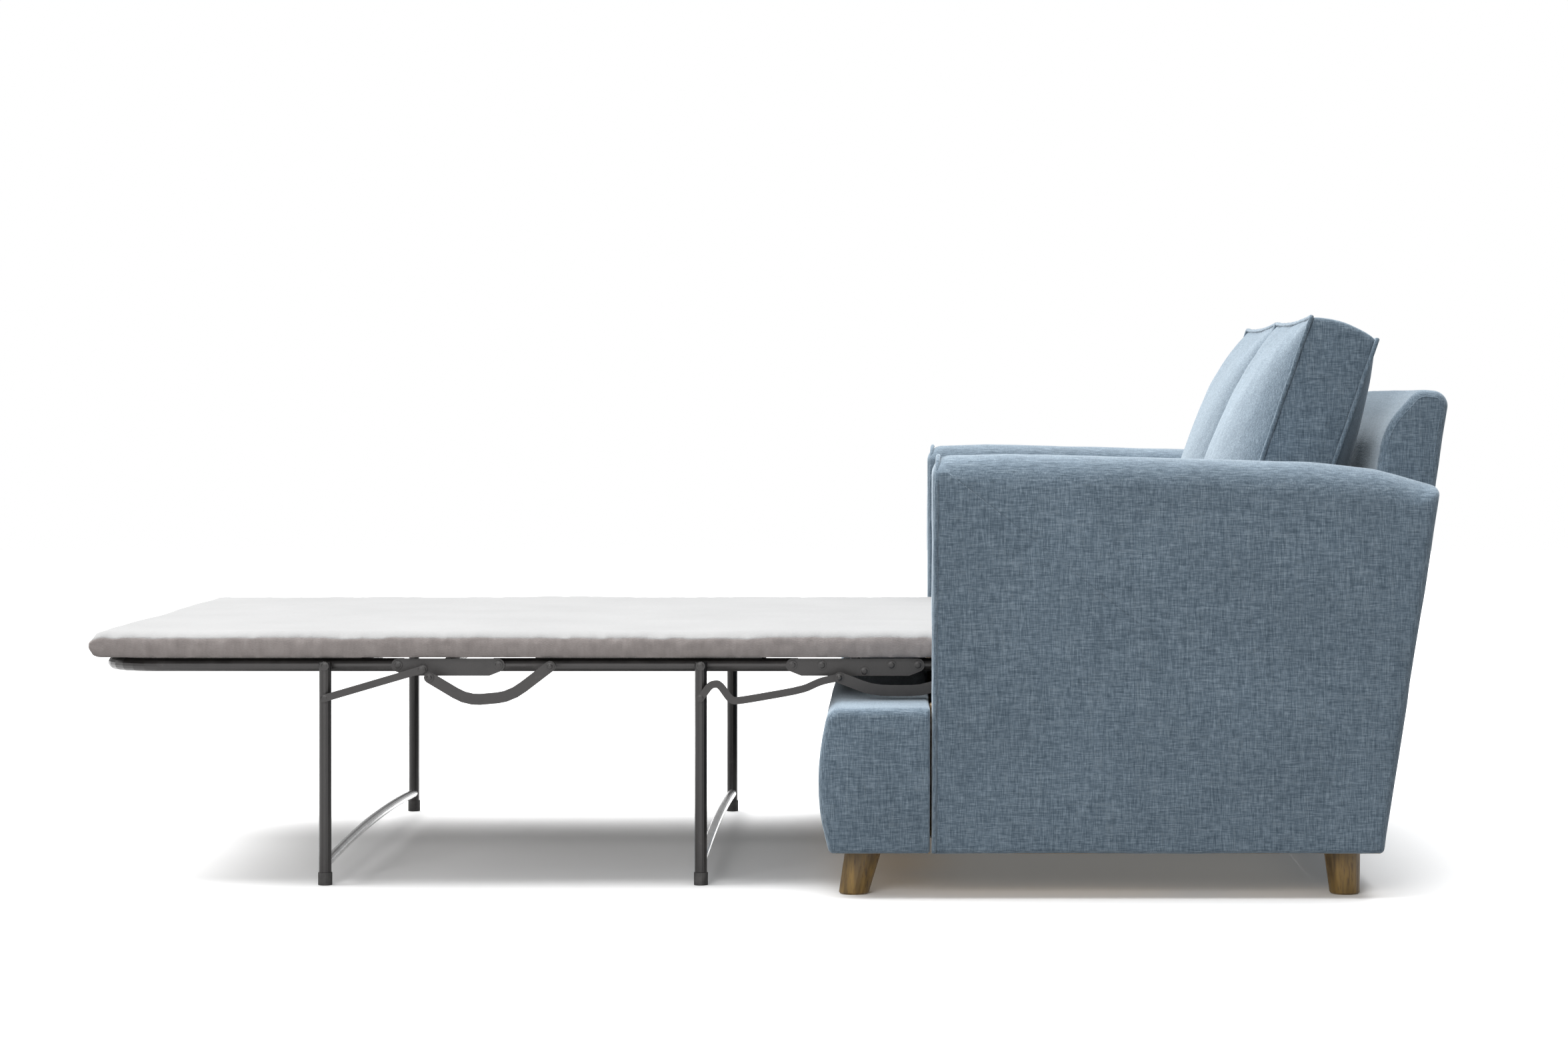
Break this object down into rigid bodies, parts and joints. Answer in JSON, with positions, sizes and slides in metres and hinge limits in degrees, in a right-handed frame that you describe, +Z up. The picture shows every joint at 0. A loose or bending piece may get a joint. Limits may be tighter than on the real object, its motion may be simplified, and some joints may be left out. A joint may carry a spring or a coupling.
{
  "type": "sofa bed",
  "caption": "Small upholstered sofa with its tubular folding bed pulled open, thin mattress, folding U-legs and loose back cushions.",
  "frame": {"origin": "on the floor, at the centre of the open bed's length and width", "axes": "+Z up, the sofa's front and the open bed face -Y, X across the width"},
  "size_m": [1.56, 2.203, 0.9241],
  "materials": {
    "upholstery": "woven blue-grey with pale slub threads",
    "mattress_cloth": "off-white knitted mattress cloth",
    "deck_cloth": "pale woven sheet",
    "leg_wood": "satin brown",
    "timber": "raw sawn",
    "chrome": "polished",
    "foot_plastic": "moulded",
    "frame_paint": "charcoal semi-gloss"
  },
  "bodies": {
    "root": {"arm_left": "upholstery", "arm_right": "upholstery", "arm_base_board_left": "timber", "arm_base_board_right": "timber", "front_border": "upholstery", "front_base_board": "timber", "backrest": "upholstery", "side_rail_left": "timber", "side_rail_right": "timber", "rear_rail": "timber", "dust_cover": "deck_cloth", "wood_leg_front_left": "leg_wood", "wood_leg_front_right": "leg_wood", "wood_leg_rear_left": "leg_wood", "wood_leg_rear_right": "leg_wood", "leg_plate_front_left": "frame_paint", "leg_plate_front_right": "frame_paint", "leg_plate_rear_left": "frame_paint", "leg_plate_rear_right": "frame_paint", "back_cushion_left": "upholstery", "back_cushion_right": "upholstery", "head_frame": "frame_paint", "head_deck": "deck_cloth", "head_mattress": "mattress_cloth", "frame_bracket_left": "frame_paint", "frame_bracket_right": "frame_paint"},
    "head_hinge": {"head_hinge_plate_left": "frame_paint", "head_hinge_plate_right": "frame_paint", "head_hinge_cross_tube": "frame_paint", "head_hinge_pad": "mattress_cloth"},
    "mid_section": {"mid_frame": "frame_paint", "mid_deck": "deck_cloth", "mid_mattress": "mattress_cloth"},
    "foot_hinge": {"foot_hinge_plate_left": "frame_paint", "foot_hinge_plate_right": "frame_paint", "foot_hinge_cross_tube": "frame_paint", "foot_hinge_pad": "mattress_cloth"},
    "foot_section": {"foot_frame": "frame_paint", "foot_deck": "deck_cloth", "foot_mattress": "mattress_cloth"},
    "leg_1": {"leg_1_tube_left": "frame_paint", "leg_1_tube_right": "frame_paint", "leg_1_foot_cap_left": "foot_plastic", "leg_1_foot_cap_right": "foot_plastic", "leg_1_cross_bar": "chrome"},
    "leg_2": {"leg_2_tube_left": "frame_paint", "leg_2_tube_right": "frame_paint", "leg_2_foot_cap_left": "foot_plastic", "leg_2_foot_cap_right": "foot_plastic", "leg_2_cross_bar": "chrome"},
    "leg_1_brace": {"leg_1_brace_left": "frame_paint", "leg_1_brace_right": "frame_paint"},
    "leg_2_brace": {"leg_2_brace_left": "frame_paint", "leg_2_brace_right": "frame_paint"},
    "foot_links": {"foot_link_left": "frame_paint", "foot_link_right": "frame_paint"},
    "head_links": {"head_link_left": "frame_paint", "head_link_right": "frame_paint"}
  },
  "joints": [
    {"name": "bed_fold", "type": "hinge", "parent": "root", "child": "head_hinge", "pos_m": [0, 0.2415, 0.355], "axis": [-1, 0, 0], "range_deg": [0, 45]},
    {"name": "mid_fold", "type": "hinge", "parent": "head_hinge", "child": "mid_section", "pos_m": [0, 0.0375, 0.355], "axis": [-1, 0, 0], "range_deg": [0, 45]},
    {"name": "foot_fold", "type": "hinge", "parent": "mid_section", "child": "foot_hinge", "pos_m": [0, -0.4405, 0.355], "axis": [-1, 0, 0], "range_deg": [0, 90]},
    {"name": "tip_fold", "type": "hinge", "parent": "foot_hinge", "child": "foot_section", "pos_m": [0, -0.6035, 0.355], "axis": [-1, 0, 0], "range_deg": [0, 90]},
    {"name": "leg_1_fold", "type": "hinge", "parent": "foot_section", "child": "leg_1", "pos_m": [0, -0.7195, 0.355], "axis": [-1, 0, 0], "range_deg": [0, 85]},
    {"name": "leg_1_brace_turn", "type": "hinge", "parent": "leg_1", "child": "leg_1_brace", "pos_m": [0, -0.7195, 0.303], "axis": [1, 0, 0], "range_deg": [0, 83.4]},
    {"name": "foot_link_turn", "type": "hinge", "parent": "mid_section", "child": "foot_links", "pos_m": [0, -0.3535, 0.355], "axis": [-1, 0, 0], "range_deg": [0, 57.2]},
    {"name": "leg_2_fold", "type": "hinge", "parent": "mid_section", "child": "leg_2", "pos_m": [0, -0.1105, 0.355], "axis": [-1, 0, 0], "range_deg": [0, 85]},
    {"name": "leg_2_brace_turn", "type": "hinge", "parent": "leg_2", "child": "leg_2_brace", "pos_m": [0, -0.1105, 0.303], "axis": [1, 0, 0], "range_deg": [0, 86.2]},
    {"name": "head_link_turn", "type": "hinge", "parent": "root", "child": "head_links", "pos_m": [0, 0.33, 0.355], "axis": [-1, 0, 0], "range_deg": [0, 19.7]}
  ],
  "couplings": [
    {"joint": "mid_fold", "follows": "bed_fold", "ratio": 1},
    {"joint": "tip_fold", "follows": "foot_fold", "ratio": 1},
    {"joint": "leg_1_fold", "follows": "foot_fold", "ratio": 0.9444},
    {"joint": "leg_1_brace_turn", "follows": "foot_fold", "ratio": 0.9266},
    {"joint": "foot_link_turn", "follows": "foot_fold", "ratio": 0.6355},
    {"joint": "leg_2_fold", "follows": "bed_fold", "ratio": 1.8888},
    {"joint": "leg_2_brace_turn", "follows": "bed_fold", "ratio": 1.9155},
    {"joint": "head_link_turn", "follows": "bed_fold", "ratio": 0.4377}
  ]
}
